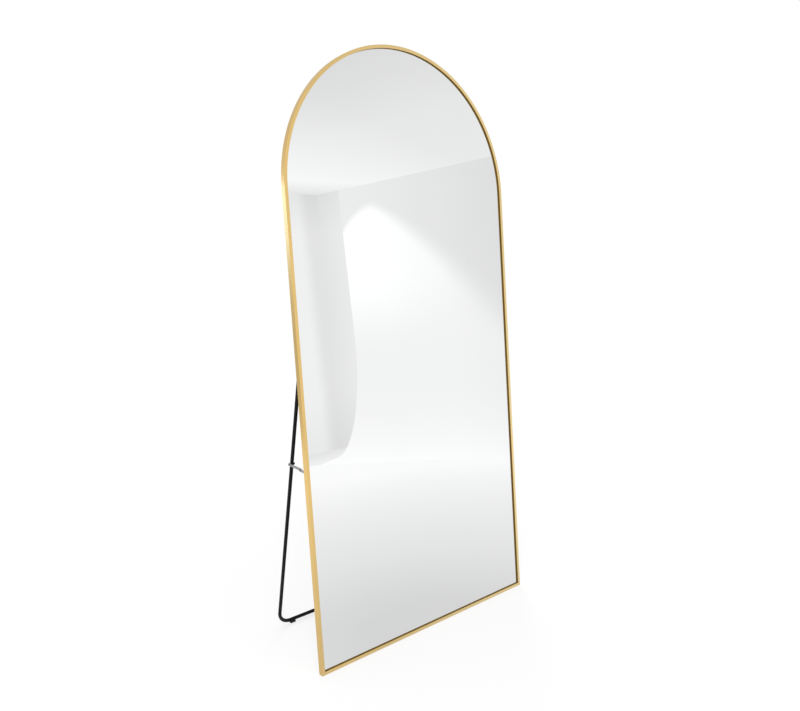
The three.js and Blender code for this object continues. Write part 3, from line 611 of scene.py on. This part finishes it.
def extrusion(name, route, node):
    """Carries the section and its chamber along a route, which gives the rings of points for an
    outline and their distances along it. Both ends are filled round the chamber."""
    points, faces, uvs, first_ring, last_ring, start = [], [], [], [], [], 0
    for outline in (channel, chamber):
        rings, lengths = route(*outline.T)
        count, around = rings.shape[:2]
        points.append(rings.reshape(-1, 3))
        faces += grid_faces(count, around, start).tolist()
        uvs.append(grid_uv(lengths, girth_of(outline)).reshape(-1, 2))
        first_ring.append(start + np.arange(around))
        start += count * around
        last_ring.append(start - around + np.arange(around))
    section = np.concatenate([channel, chamber])
    fill = np.array(tessellate_polygon([[(*p, 0) for p in channel], [(*p, 0) for p in chamber]]))
    faces += np.concatenate(first_ring)[fill].tolist() + np.concatenate(last_ring)[fill].tolist()
    uvs += [section[fill].reshape(-1, 2)] * 2
    put_mesh(name, np.concatenate(points), faces, gold_finish, "mirror", node, np.concatenate(uvs))


def over_the_arch(inwards, front):
    """Up one leg from its mitre, round a half circle about the spring line's middle, and down."""
    turns = np.linspace(pi, 0, 241)[:, None]
    radius = half_width - inwards
    foot = inwards + mitre_shift
    across = np.concatenate([[-radius], radius * np.cos(turns), [radius]])
    up = np.concatenate([[foot], spring_height + radius * np.sin(turns), [foot]])
    arc = half_width * (pi - turns[:, 0])
    lengths = np.concatenate([[0], spring_height + arc, [2 * spring_height + arc[-1]]])
    return on_panel(across, up, front[None, :]), lengths


def along_the_bottom(inwards, front):
    """Straight across between the two mitres."""
    reach = half_width - inwards - mitre_shift
    shares = np.linspace(-1, 1, 9)[:, None]
    return on_panel(shares * reach, inwards[None, :], front[None, :]), half_width * (1 + shares[:, 0])


extrusion("arch_extrusion", over_the_arch, "frame_arch")
extrusion("rail_extrusion", along_the_bottom, "frame_bottom_rail")

# --- Glass, board and corner keys ----------
# Silvered float glass lies on a dark laminated fibreboard in the channel. A
# cast key in the frame's chamber draws each mitre tight.


def dress(node, material):
    """Gives a CAD node that keeps its shape a material."""
    slots = frame["nodes"][node].data.materials
    slots.clear()
    slots.append(material)


silvering, tree, shader = plain_finish("silvered_glass", (0.955, 0.962, 0.96), 0.004, 1.0)
vary_roughness(shader, noise(tree, 5, detail=5), 0.0, 0.012)
clouds = noise(tree, 2.5, detail=2)
vary_colour(shader, clouds, (0.950, 0.958, 0.956), (0.962, 0.967, 0.966))
dress("mirror_glass", silvering)

laminate, tree, shader = plain_finish("dark_laminate", (0.03, 0.028, 0.027), 0.62)
fibres = noise(tree, (2200, 160, 160), detail=6)
flecks = noise(tree, 700, detail=4)
both = blend(fibres, flecks)
vary_colour(shader, both, (0.021, 0.0195, 0.0185), (0.040, 0.037, 0.0345))
vary_roughness(shader, flecks, 0.52, 0.72)
raise_surface(shader, both, 0.00006)
dress("backing_board", laminate)

cast, tree, shader = plain_finish("mill_aluminium", (0.62, 0.63, 0.64), 0.45, 1.0)
vary_roughness(shader, noise(tree, 800), 0.38, 0.55)
for side in ("left", "right"):
    dress(f"corner_key_{side}", cast)

# --- Screws through the lip ----------------
# Sixteen bright zinc pan-head screws with a cross recess hold the corner
# plates, hanger plates and brackets to the lip and bite into the board.

zinc, tree, shader = plain_finish("bright_zinc", (0.36, 0.36, 0.355), 0.3, 1.0)
bloom = noise(tree, 70, detail=4)
rolled = noise(tree, (2600, 2600, 500), detail=2)
vary_colour(shader, bloom, (0.31, 0.31, 0.306), (0.41, 0.41, 0.402))
vary_roughness(shader, blend(bloom, rolled), 0.24, 0.42)
raise_surface(shader, rolled, 0.00001)
zinc_finish = (zinc, "zinc_steel")

fit_gap = 0.0003
screw_inset = 0.007
screw_radius = 0.0017
screw_head = 0.0034
screw_head_height = 0.002
screw_head_rim = 0.0005
screw_tip = 0.0032
crown_radius = 0.0026
crown_rise = 0.00035
recess_arm = 0.0021
recess_half_width = 0.00062
recess_wall = 0.00016
recess_depth = 0.0012

# Pairs are made by their labels and the way in which each lies from the middle
sides = (("left", -1), ("right", 1))


def turned(profile, steps=48, reshape=None):
    """A profile of (radius, height) points turned about its axis, as rows of (sideways, upwards,
    height). The reshape function changes radius and height with the angle, as for a hexagon."""
    profile = np.asarray(profile, float)
    angles = np.linspace(0, 2 * pi, steps + 1)[:, None]
    radius, height = np.broadcast_arrays(profile[:, 0] + 0 * angles, profile[:, 1] + 0 * angles)
    if reshape:
        radius, height = reshape(radius, height, angles)
    return np.stack([radius * np.cos(angles), radius * np.sin(angles), height], -1)


def rounded_profile(*parts):
    """Joins runs of profile points into one."""
    return np.concatenate([np.reshape(part, (-1, 2)) for part in parts])


def bow(start, end, bulge, steps=6):
    """A quarter of an ellipse from one profile point to another. It leaves the first level where
    the bulge is 0, and upright where it is 1."""
    turn = np.linspace(0, pi / 2, steps + 1)
    flat, steep = (np.sin(turn), 1 - np.cos(turn)) if bulge == 0 else (1 - np.cos(turn), np.sin(turn))
    (r0, h0), (r1, h1) = start, end
    return np.stack([r0 + (r1 - r0) * flat, h0 + (h1 - h0) * steep], 1)


def put_turned(name, grid, finish, body, node):
    """A turned piece whose grid is already in the row's frame."""
    faces = grid_faces(*grid.shape[:2], closed=False).tolist()
    put_mesh(name, grid, faces, finish, body, node, sharp=40)


def cross_recess(radius, height, angles):
    """Sinks a cross into the head: full depth within the arms' width and length, half of it at
    their tips, and none past a narrow wall."""
    x, y = radius * np.cos(angles), radius * np.sin(angles)
    narrow, long = np.minimum(abs(x), abs(y)), np.maximum(abs(x), abs(y))
    in_width = np.clip((recess_half_width - narrow) / recess_wall, 0, 1)
    in_length = np.clip((recess_arm - long) / recess_wall, 0, 1)
    on_top = height < height[0, 0] + crown_rise + 0.00005
    depth = recess_depth * (1 - 0.5 * long / recess_arm)
    return radius, height + depth * in_width * in_length * on_top


def lip_screw(name, inset, up, plate):
    """A pan head seated on a plate behind the lip, with its shank in the board."""
    seat = -plate - 2 * fit_gap
    top = seat - screw_head_height
    crown = np.linspace(0, crown_radius, 27)
    profile = rounded_profile(
        np.stack([crown, top + crown_rise * (crown / crown_radius) ** 2], 1),
        bow((crown_radius, top + crown_rise), (screw_head, seat - screw_head_rim), 0),
        [(screw_head, seat), (screw_radius, seat), (screw_radius, screw_tip - screw_radius), (0, screw_tip)],
    )
    grid = turned(profile, 64, cross_recess)
    for label, way in sides:
        x = way * (half_width - inset) + grid[..., 0]
        placed = on_panel(x, up + grid[..., 1], grid[..., 2])
        put_turned(f"{name}_{label}_pan", placed, zinc_finish, "mirror", f"{name}_{label}")


corner_leg = 0.045
from_end = 0.008
corner_plate = 0.0012
lip_screw("corner_screw_side", screw_inset, corner_leg - from_end, corner_plate)
lip_screw("corner_screw_bottom", corner_leg - from_end, screw_inset, corner_plate)

hanger_up = 1.3
hanger_inset = 0.0092
hanger_screw_reach = 0.0245
hanger_plate = 0.0012
for place, way in (("lower", -1), ("upper", 1)):
    lip_screw(f"hanger_screw_{place}", hanger_inset, hanger_up + way * hanger_screw_reach, hanger_plate)

for side in ("left", "right"):
    dress(f"corner_plate_{side}", zinc)
    dress(f"hanger_plate_{side}", zinc)

# --- Bent brackets -------------------------
# Two black steel angles carry the stand's hinges, and two smaller zinc ones
# the stays. Each is a flat plate on the lip and an ear that stands out behind.

black, tree, shader = plain_finish("black_powder_coat", (0.0055, 0.0055, 0.0055), 0.45)
peel = noise(tree, 1400, detail=2)
wear = noise(tree, 60, detail=3)
vary_colour(shader, wear, (0.0045, 0.0045, 0.0045), (0.0070, 0.0070, 0.0070))
vary_roughness(shader, peel, 0.36, 0.50)
raise_surface(shader, peel, 0.00004)
shader.inputs["Specular IOR Level"].default_value = 0.2
black_finish = (black, "black_steel")

joints = {joint["name"]: joint for joint in frame["joints"]}
hinge_axis = np.array([0.0, *joints["stand_fold"]["pos_m"][1:]])
panel_pivot = np.array([0.0, *joints["stay_front_left"]["pos_m"][1:]])
drop = hinge_axis[2] - panel_pivot[2]

bracket = 0.002
bracket_edge = 0.423
bracket_corner = 0.003
pivot_depth = 0.012
leg_offset = 0.3815
hinge_up = 1.012
hinge_ear = 0.3851
hinge_screw_reach = 0.010
stay_up = hinge_up - drop / cos(lean)
stay_ear = 0.3954
stay_screw_reach = 0.007


def plate_rings(half, thickness, edge=0.0003, steps=4):
    """Rings of a flat bar's section, one for each half width: four quarter circles at the corners
    of a rectangle, as (along the width, across the thickness)."""
    quarter = np.linspace(0, pi / 2, steps + 1)
    turns = (quarter[None, :] + np.arange(4)[:, None] * pi / 2).ravel()
    signs_w = np.repeat([1, -1, -1, 1], steps + 1)
    signs_t = np.repeat([1, 1, -1, -1], steps + 1)
    half = np.asarray(half, float)[:, None]
    edge = np.minimum(edge, 0.95 * half)
    wide = signs_w * (half - edge) + edge * np.cos(turns)
    thick = signs_t * (thickness / 2 - edge) + edge * np.sin(turns)
    return wide, thick


def angle_bracket(name, ear_x, up, half_height, ear_radius, finish, node):
    """A flat bar carried round the bend, from the lip's outer edge to the ear's tip. Its half width
    follows the rounded corners, the taper of the ear and the round about its pivot."""
    base = -fit_gap - bracket
    centre = ear_x + bracket
    middle = ear_x + bracket / 2
    rounding = bracket_corner * (1 - np.cos(np.linspace(0, pi / 2, 9)))
    flat = bracket_edge - rounding
    bend = np.linspace(0, pi / 2, 9)
    taper = np.linspace(-base, pivot_depth, 7)[1:]
    swing = np.linspace(0, pi / 2, 15)[1:]
    tail = pivot_depth + ear_radius * np.sin(swing)
    bent = centre - bracket / 2 * np.sin(bend)
    across = np.concatenate([flat, bent, 0 * taper + middle, 0 * tail + middle])
    front = np.concatenate([0 * flat + base + bracket / 2, base + bracket / 2 * np.cos(bend), -taper, -tail])
    lean_in = np.concatenate([0 * flat, bend, 0 * taper + pi / 2, 0 * tail + pi / 2])
    half = np.concatenate([
        half_height - bracket_corner
        + np.sqrt(np.maximum(bracket_corner**2 - (bracket_corner - rounding) ** 2, 0)),
        0 * bend + half_height,
        half_height + (ear_radius - half_height) * (taper + base) / (pivot_depth + base),
        ear_radius * np.cos(swing),
    ])
    wide, thick = plate_rings(half, bracket)
    x = across[:, None] + thick * np.sin(lean_in)[:, None]
    z = front[:, None] + thick * np.cos(lean_in)[:, None]
    faces = grid_faces(*wide.shape).tolist() + [list(range(wide.shape[1]))]
    for label, way in sides:
        placed = on_panel(way * x, up + wide, z)
        put_mesh(f"{name}_{label}", placed, faces, finish, "mirror", f"{node}_{label}")


angle_bracket("hinge_angle", hinge_ear, hinge_up, 0.017, 0.008, black_finish, "hinge_bracket")
angle_bracket("stay_angle", stay_ear, stay_up, 0.014, 0.005, zinc_finish, "stay_bracket")
for place, way in (("lower", -1), ("upper", 1)):
    lip_screw(f"hinge_screw_{place}", screw_inset, hinge_up + way * hinge_screw_reach, bracket)
    lip_screw(f"stay_screw_{place}", screw_inset, stay_up + way * stay_screw_reach, bracket)

# --- Stand tube ----------------------------
# One round steel tube is bent into a U. The foot bar joins two straight legs,
# whose open ends are pressed flat and rounded off for the hinge bolts. All of
# it is black powder coated.

tube_radius = 0.0055
tube_wall = 0.0012
bend_radius = 0.042
pressed_half = 0.0075
pressed_half_thickness = 0.002
pressed_to = -0.012
taper_to = -0.030
leg_lean = radians(joints["stand_fold"]["range_deg"][1] - lean_degrees)
leg_length = 1.01261


def on_stand(across, up, front):
    """Points drawn on the stand, up the leg from the hinge axis, as points in the row: a turn about
    X by the leg's lean, the other way from the panel's."""
    across, up, front = np.broadcast_arrays(across, up, front)
    backwards = -up * sin(leg_lean) - front * cos(leg_lean)
    height = up * cos(leg_lean) - front * sin(leg_lean)
    return np.stack([across, backwards, height], -1) + hinge_axis


def tube_wall_rings(depth):
    """The tube's wall at a depth inside it. A circle follows the U; near the ends it is held to the
    pressed thickness and spreads sideways, and each line along the wall ends on the round end."""
    radius = tube_radius - depth
    angles = np.linspace(0, 2 * pi, 41)[:-1]
    out, front = radius * np.cos(angles), radius * np.sin(angles)
    flat_out = np.clip(out, depth - pressed_half_thickness, pressed_half_thickness - depth)
    flat_front = front * (pressed_half - depth) / radius
    end = np.sqrt(pressed_half**2 - flat_front**2)
    shares = np.linspace(0, 1, 5)[:, None]
    pressed_up = end * (1 - shares) + pressed_to * shares
    taper = np.linspace(pressed_to, taper_to, 21)[1:]
    press = np.clip((taper - taper_to) / (pressed_to - taper_to), 0, 1)
    press = (press**2 * (3 - 2 * press))[:, None]
    taper_up = taper[:, None] + 0 * angles
    held = np.concatenate([0 * pressed_up + 1, press + 0 * angles])
    leg_x = leg_offset + out + held * (flat_out - out)
    leg_z = front + held * (flat_front - front)
    turns = np.linspace(0, pi / 2, 25)[:, None]
    bend_x = leg_offset - bend_radius + (bend_radius + out) * np.cos(turns)
    bend_up = bend_radius - leg_length - (bend_radius + out) * np.sin(turns)
    x = np.concatenate([leg_x, bend_x])
    up = np.concatenate([pressed_up, taper_up, bend_up])
    z = np.concatenate([leg_z, front + 0 * turns])
    both = [np.concatenate([part, sign * part[::-1]]) for part, sign in ((x, -1), (up, 1), (z, 1))]
    return on_stand(*both)


outer, inner = tube_wall_rings(0), tube_wall_rings(tube_wall)
tube = np.concatenate([outer, inner[::-1], outer[:1]])
put_mesh("u_tube", tube, grid_faces(*tube.shape[:2]).tolist(), black_finish, "stand", "stand_tube")

# --- Rubber feet ---------------------------
# Two moulded black rubber saddles under the foot bar, each held by a stem with
# a barb in a hole in the tube. They stand level on the floor.

rubber, tree, shader = plain_finish("black_rubber", (0.012, 0.012, 0.012), 0.75)
bloom = noise(tree, 500, detail=4)
vary_colour(shader, bloom, (0.009, 0.009, 0.009), (0.02, 0.0195, 0.019))
vary_roughness(shader, bloom, 0.65, 0.85)
raise_surface(shader, noise(tree, 3000), 0.00003)
rubber_finish = (rubber, "foot_rubber")

bar_centre = (0.15274, 0.011)
foot_x = 0.3315
foot_half_length = 0.009
foot_half_width = 0.006
foot_chamfer = 0.001
foot_arm = 0.0015
foot_edge = 0.0009
cradle = tube_radius + fit_gap


def foot_section(inset):
    """The saddle's section, drawn in by an inset: up each side, and round the tube in between, where
    the inset counts less."""
    half = foot_half_width - inset
    lip = np.arccos((foot_half_width - foot_arm) / cradle)
    round_tube = np.linspace(-lip, lip - pi, 25)
    low = inset - bar_centre[1]
    right = [(half - foot_chamfer, low), (half, low + foot_chamfer)]
    saddle_radius = cradle + inset * 0.3
    saddle = np.stack([saddle_radius * np.cos(round_tube), saddle_radius * np.sin(round_tube)], 1)
    left = [(-half, low + foot_chamfer), (-half + foot_chamfer, low)]
    top = saddle[0][1]
    return np.concatenate([right, [(half, top)], saddle, [(-half, top)], left])


edge_turns = np.linspace(0, pi / 2, 5)
drawn_in = foot_edge * (1 - np.sin(edge_turns))
from_middle = foot_half_length - foot_edge * (1 - np.cos(edge_turns))
insets = np.concatenate([drawn_in, drawn_in[::-1]])
places = np.concatenate([-from_middle, from_middle[::-1]])
sections = np.stack([foot_section(inset) for inset in insets])
count, around = sections.shape[:2]
foot_faces = grid_faces(count, around).tolist()
foot_faces += [list(range(around)), list(range((count - 1) * around, count * around))]
for label, way in sides:
    x = way * foot_x + places[:, None] + 0 * sections[..., 0]
    saddle = np.dstack([x, sections + bar_centre])
    node = f"foot_pad_{label}"
    put_mesh(f"rubber_saddle_{label}", saddle, foot_faces, rubber_finish, "stand", node, sharp=35)

# --- Hinge and stay hardware ---------------
# Zinc bolts with a socket in their crowned heads, hexagon nuts, nylon washers
# and spacers, and domed rivets, all turned on axes that run across the mirror.

nylon, tree, shader = plain_finish("natural_nylon", (0.72, 0.70, 0.65), 0.5)
milky = noise(tree, 300, detail=3)
vary_colour(shader, milky, (0.67, 0.65, 0.60), (0.76, 0.74, 0.69))
vary_roughness(shader, milky, 0.42, 0.58)
nylon_finish = (nylon, "nylon")


def put_across(name, grid, place, finish, body, node):
    """A turned piece on an axis along X: its height runs outwards from the middle of the mirror. A
    place is two distances of the axis, and the function that lays such points in the row."""
    first, second, laid = place
    for label, way in sides:
        placed = laid(way * grid[..., 2], first + grid[..., 0], second + grid[..., 1])
        put_turned(f"{name}_{label}", placed, finish, body.format(label), f"{node}_{label}")


def hexagon(across_flats, angles):
    """The radius of a hexagon at each angle: half its width over the cosine of the angle from the
    middle of the nearest side."""
    return across_flats / 2 / np.cos((angles % (pi / 3)) - pi / 6)


bolt_point = 0.0005
plain_shank = 0.004
thread_depth = 0.28


def bolt(start, seat, radius, head_radius, head_height, socket, pitch):
    """A bolt from its point to its crowned head. A hexagon socket is sunk in the crown, and a thread
    winds round the shank: the radius falls and rises once for each pitch of height and each turn."""
    top = seat + head_height
    shank = np.linspace(start + bolt_point, seat, 60)
    rim = socket / 2 * 1.35
    profile = rounded_profile(
        (0, start), (radius - bolt_point, start),
        np.stack([radius + 0 * shank, shank], 1),
        (head_radius, seat), (head_radius, seat + 0.35 * head_height),
        bow((head_radius, seat + 0.35 * head_height), (rim, top), 1, 8),
        (socket / 2, top - 0.0001), (socket / 2, top - 0.55 * head_height), (0, top - 0.6 * head_height),
    )

    def shaped(r, h, angles):
        in_socket = (abs(r - socket / 2) < 1e-9) & (h > seat)
        wave = abs(((h / pitch + angles / (2 * pi)) % 1) * 2 - 1)
        threaded = (h < seat - plain_shank) & (abs(r - radius) < 1e-9)
        r = np.where(threaded, r - thread_depth * pitch * wave, r)
        return np.where(in_socket, hexagon(socket, angles), r), h

    return turned(profile, 48, shaped)


def nut(start, thickness, across_flats, bore):
    """A hexagon nut: six flats cut by a cone at each face, and a round bore."""
    cut = np.linspace(0, 0.0009, 5)
    heights = np.concatenate([cut, thickness - cut[::-1]])
    outside = np.stack([0 * heights + 1.0, heights], 1)
    profile = rounded_profile((bore, 0), outside, (bore, thickness), (bore, 0))

    def shaped(r, h, angles):
        cone = across_flats / 2 * 0.97 + np.minimum(h, thickness - h) * 1.73
        return np.where(r == 1.0, np.minimum(hexagon(across_flats, angles), cone), r), h + start

    return turned(profile, 72, shaped)


def ring(start, thickness, radius, bore):
    """A flat washer with softened edges."""
    outline = rounded_outline(
        [(bore, 0), (radius, 0), (radius, thickness), (bore, thickness)], min(0.00025, thickness / 4), 3
    )
    outline = np.concatenate([outline, outline[:1]]) + [0, start]
    return turned(outline, 48)


hinge_place = (hinge_up, -pivot_depth, on_panel)
hinge_bore = 0.0028
hinge_washer_x = leg_offset + pressed_half_thickness + fit_gap
hinge_head_x = hinge_ear + bracket + fit_gap
hinge_nut_x = leg_offset - pressed_half_thickness - fit_gap
for name, grid, finish, node in (
    ("hinge_cap_bolt", bolt(hinge_nut_x - 0.005, hinge_head_x, 0.0025, 0.0045, 0.003, 0.003, 0.0008),
     zinc_finish, "hinge_bolt"),
    ("hinge_hex_nut", nut(hinge_nut_x - 0.004, 0.004, 0.008, hinge_bore), zinc_finish, "hinge_nut"),
    ("hinge_nylon_ring", ring(hinge_washer_x, 0.001, 0.005, hinge_bore), nylon_finish, "hinge_washer"),
):
    put_across(name, grid, hinge_place, finish, "mirror", node)

strap = 0.0015
strap_gap = 0.0025
spacer = 0.002
stay_bore = 0.0023
stay_place = (-drop / cos(leg_lean), 0, on_stand)
spacer_x = leg_offset + tube_radius + fit_gap
rear_strap_x = spacer_x + spacer + fit_gap
front_strap_x = rear_strap_x + strap + strap_gap
stay_head_x = rear_strap_x + strap + fit_gap
stay_nut_x = leg_offset - tube_radius - fit_gap
for name, grid, finish, node in (
    ("stay_cap_bolt", bolt(stay_nut_x - 0.004, stay_head_x, 0.002, 0.0035, 0.0018, 0.002, 0.0007),
     zinc_finish, "stay_bolt"),
    ("stay_hex_nut", nut(stay_nut_x - 0.003, 0.003, 0.007, stay_bore), zinc_finish, "stay_nut"),
    ("stay_nylon_spacer", ring(spacer_x, spacer, 0.0045, stay_bore), nylon_finish, "stay_spacer"),
):
    put_across(name, grid, stay_place, finish, "stand", node)

# --- Folding stays -------------------------
# At each side two zinc-plated flat straps with round ends meet at a riveted
# knee. One is riveted to the panel's ear and the other bolted to the leg.

front_strap_length = 0.058539
stay_span = joints["stay_rear_left"]["pos_m"][1] - panel_pivot[1]
strap_half = 0.004
rivet = 0.0016
rivet_head = 0.0031
rivet_height = 0.0012
rivet_edge = 0.0002
rivet_flare = 0.0009
flare_past = 0.0001


def on_stay(across, backwards, up):
    """Points on the level stay, measured back from its pivot on the panel."""
    return np.stack(np.broadcast_arrays(across, backwards, up), -1) + panel_pivot


def put_strap(name, start_x, from_y, to_y, body, node):
    """A flat bar whose half width follows a half circle about each end."""
    turns = np.linspace(0, pi / 2, 15)
    past_end = strap_half * np.cos(turns)
    along_bar = np.concatenate([from_y - past_end, to_y + past_end[::-1]])
    half = np.concatenate([strap_half * np.sin(turns), strap_half * np.sin(turns[::-1])])
    wide, thick = plate_rings(half, strap, edge=0.00022)
    faces = grid_faces(*wide.shape).tolist()
    for label, way in sides:
        bar = on_stay(way * (start_x + strap / 2 + thick), along_bar[:, None], wide)
        put_mesh(f"{name}_{label}", bar, faces, zinc_finish, body.format(label), f"{node}_{label}", sharp=35)


put_strap("front_strap", front_strap_x, 0, front_strap_length, "stay_front_{}", "stay_front_strap")
put_strap("rear_strap", rear_strap_x, front_strap_length, stay_span, "stay_rear_{}", "stay_rear_strap")


def dome(face, way):
    """A rivet's domed head over a face, from its rim to the axis."""
    rim = (rivet_head, face + way * rivet_edge)
    return rounded_profile((rivet_head, face), bow(rim, (0, face + way * rivet_height), 1, 10))


ear_face = stay_ear + bracket + fit_gap
flare = bow((rivet + rivet_flare, front_strap_x - flare_past), (rivet, front_strap_x + rivet_flare), 1, 3)
pivot_rivet = rounded_profile((0, front_strap_x - flare_past), flare, (rivet, ear_face), dome(ear_face, 1))
put_across("ear_rivet", turned(pivot_rivet), (0, 0, on_stay), zinc_finish, "mirror", "stay_pivot")


def knee_half(near, far, way):
    """Half of the knee's rivet: a collar between the straps, a shank from the strap's near face to
    its far one, and a dome there. It points outwards for a way of 1, and inwards for -1."""
    foot = near - way * (strap_gap / 2 - 1.5 * fit_gap)
    collar = [(0, foot), (rivet_head - rivet_edge, foot), (rivet_head, foot + way * rivet_edge)]
    shank = [(rivet_head, near), (rivet, near), (rivet, far)]
    return turned(rounded_profile(collar, shank, dome(far, way)))


knee_place = (front_strap_length, 0, on_stay)
outer_half = knee_half(front_strap_x - fit_gap, front_strap_x + strap + fit_gap, 1)
inner_half = knee_half(rear_strap_x + strap + fit_gap, rear_strap_x - fit_gap, -1)
put_across("knee_dome_front", outer_half, knee_place, zinc_finish, "stay_front_{}", "knee_rivet_front")
put_across("knee_dome_rear", inner_half, knee_place, zinc_finish, "stay_rear_{}", "knee_rivet_rear")
